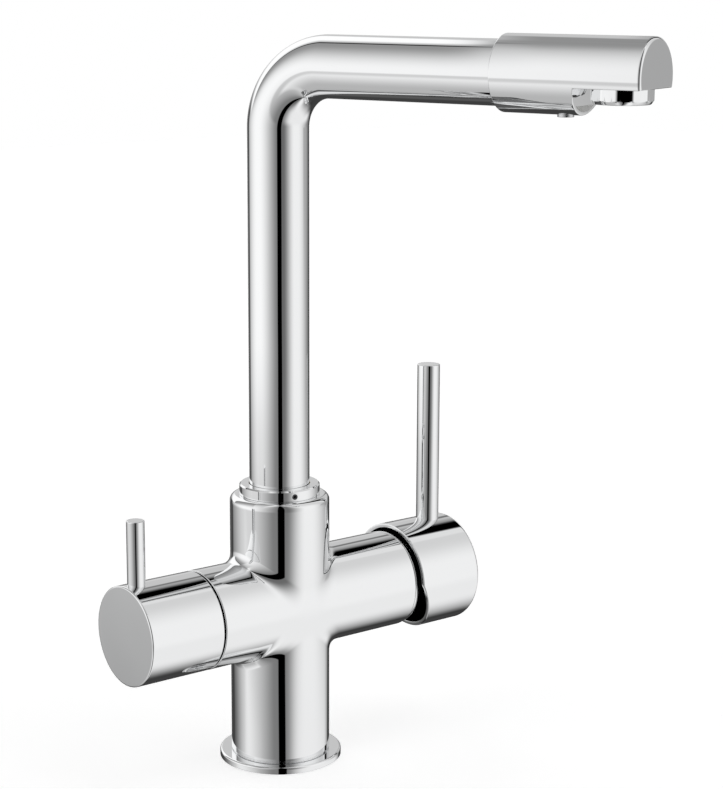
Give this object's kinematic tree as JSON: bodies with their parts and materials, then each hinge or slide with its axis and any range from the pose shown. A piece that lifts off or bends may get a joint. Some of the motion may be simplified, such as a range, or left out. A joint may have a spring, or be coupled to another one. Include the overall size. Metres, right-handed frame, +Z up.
{
  "type": "kitchen tap",
  "caption": "Tall L-spout kitchen tap: a mixer knob with a long lever on the right arm, a filtered water knob with a short lever on the left, and separate outlets in the spout's head.",
  "frame": {"origin": "on the worktop, under the middle of the tap's upright body", "axes": "+Z up along the body, +X along the cross arm towards the mixer knob, -Y to the front"},
  "size_m": [0.1879, 0.2073, 0.3414],
  "materials": {
    "polished_chrome": "mirror polished chrome plate on brass",
    "bare_brass": "turned, unplated",
    "black_rubber": "smooth moulded",
    "white_ceramic": "lapped flat",
    "white_plastic": "moulded, satin",
    "grey_plastic": "moulded, satin",
    "stainless_steel": "turned, fine satin"
  },
  "bodies": {
    "tap": {"base_flange": "polished_chrome", "deck_seal": "black_rubber", "tap_body": "polished_chrome", "collar_ring": "polished_chrome", "collar_grub_screw": "stainless_steel", "filter_spigot": "bare_brass", "filter_spigot_seals": "black_rubber", "filter_valve_seal": "black_rubber", "filter_valve_body": "bare_brass", "filter_valve_nut": "bare_brass", "filter_disc_fixed": "white_ceramic", "mixer_base_seal": "black_rubber", "mixer_cartridge_body": "grey_plastic", "mixer_disc_fixed": "white_ceramic", "mixer_cartridge_nut": "bare_brass", "mixer_dome_ring": "polished_chrome"},
    "spout": {"spout_tube": "polished_chrome", "spout_bush": "bare_brass", "spout_o_rings": "black_rubber", "spout_slip_ring": "white_plastic", "spout_head": "polished_chrome", "outlet_block": "white_plastic", "aerator_housing": "polished_chrome", "aerator_insert": "grey_plastic", "aerator_washer": "black_rubber", "filter_nozzle": "stainless_steel", "filter_inner_tube": "white_plastic"},
    "filter_handle": {"filter_knob": "polished_chrome", "filter_lever_pin": "polished_chrome", "filter_knob_screw": "stainless_steel", "filter_spindle": "bare_brass", "filter_spindle_seal": "black_rubber", "filter_disc_turning": "white_ceramic"},
    "mixer_turn": {"mixer_carrier": "white_plastic", "mixer_pivot_pin": "stainless_steel"},
    "mixer_handle": {"mixer_knob": "polished_chrome", "mixer_lever_pin": "polished_chrome", "mixer_knob_screw": "stainless_steel", "mixer_stem": "stainless_steel"},
    "mixer_disc": {"mixer_disc_moving": "white_ceramic"}
  },
  "joints": [
    {"name": "spout_swivel", "type": "hinge", "parent": "tap", "child": "spout", "pos_m": [0, 0, 0.12], "axis": [0, 0, 1], "range_deg": [-109.5, 70.5]},
    {"name": "filter_turn", "type": "hinge", "parent": "tap", "child": "filter_handle", "pos_m": [-0.06, 0, 0.075], "axis": [1, 0, 0], "range_deg": [0, 90]},
    {"name": "mixer_temperature", "type": "hinge", "parent": "tap", "child": "mixer_turn", "pos_m": [0.05005, 0, 0.075], "axis": [1, 0, 0], "range_deg": [-45, 45]},
    {"name": "mixer_flow", "type": "hinge", "parent": "mixer_turn", "child": "mixer_handle", "pos_m": [0.05005, 0, 0.075], "axis": [0, 1, 0], "range_deg": [0, 20]},
    {"name": "mixer_disc_slide", "type": "slide", "parent": "mixer_turn", "child": "mixer_disc", "axis": [0, 0, 1], "range_m": [0, 0.0038]}
  ],
  "couplings": [
    {"joint": "mixer_disc_slide", "follows": "mixer_flow", "m_per_rad": 0.010778}
  ]
}
